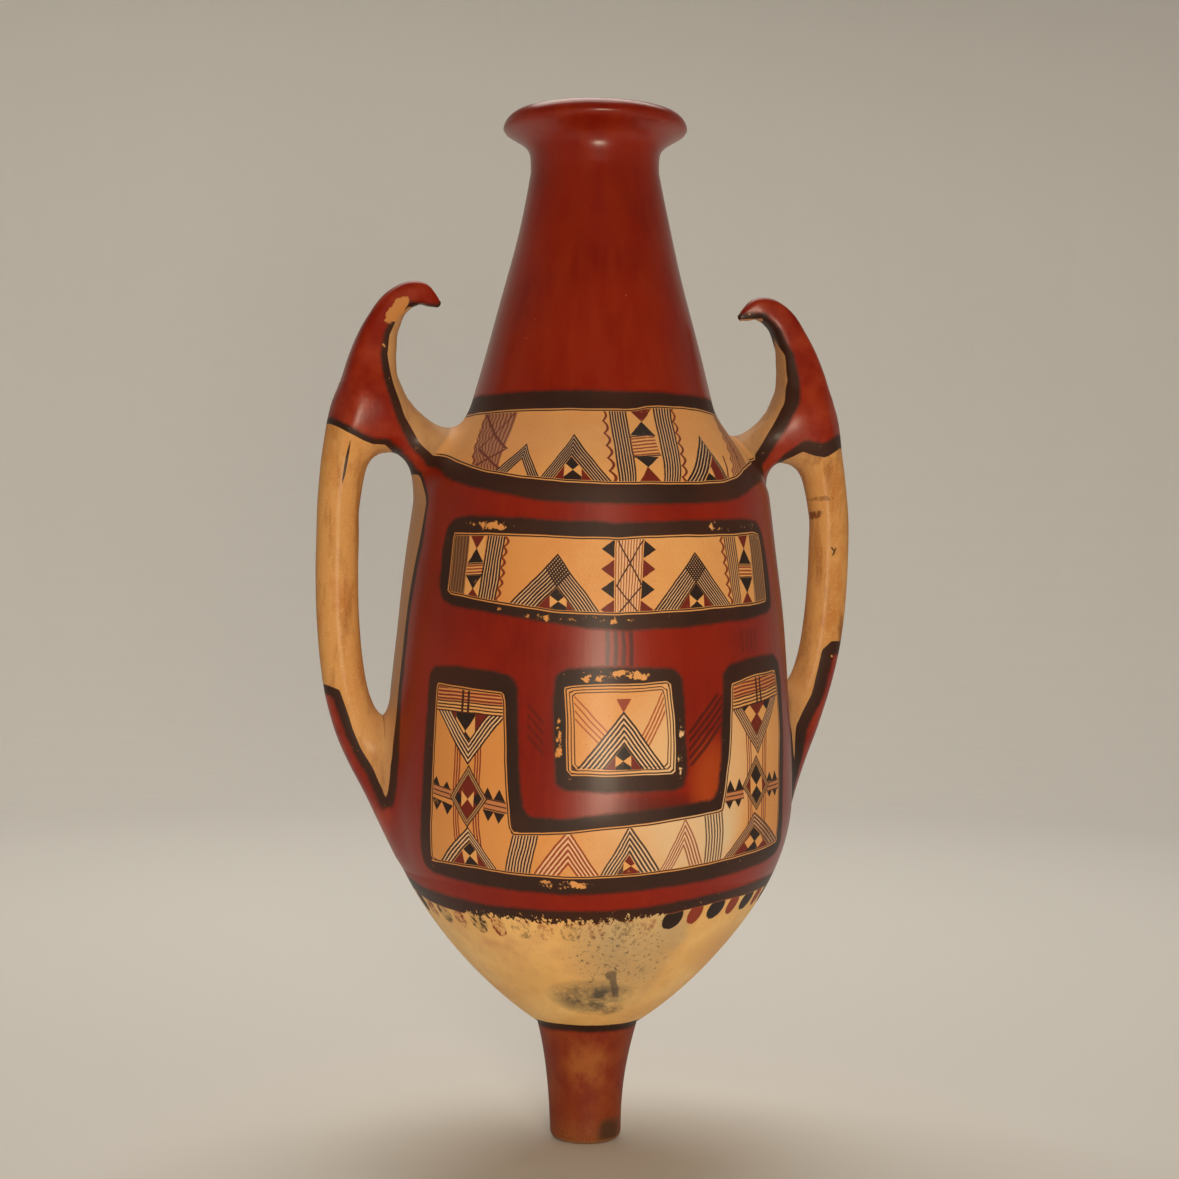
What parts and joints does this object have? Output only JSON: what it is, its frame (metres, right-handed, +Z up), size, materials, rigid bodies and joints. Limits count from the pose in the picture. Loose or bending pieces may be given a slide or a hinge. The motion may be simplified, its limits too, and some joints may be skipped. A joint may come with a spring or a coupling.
{
  "type": "footed jar",
  "caption": "Tall painted earthenware jar with a narrow stub foot, a flared neck and upright handles that end in inward-curling horns; hollow, stands on its foot.",
  "frame": {"origin": "centre of the foot's flat underside, on the surface that the jar stands on", "axes": "+Z up through the mouth, X through both handles, -Y towards the painted front"},
  "size_m": [0.428, 0.3176, 0.798],
  "materials": {
    "painted_clay": "satin, slip-painted and burnished fired clay"
  },
  "bodies": {
    "root": {"jar": "painted_clay"}
  },
  "joints": []
}
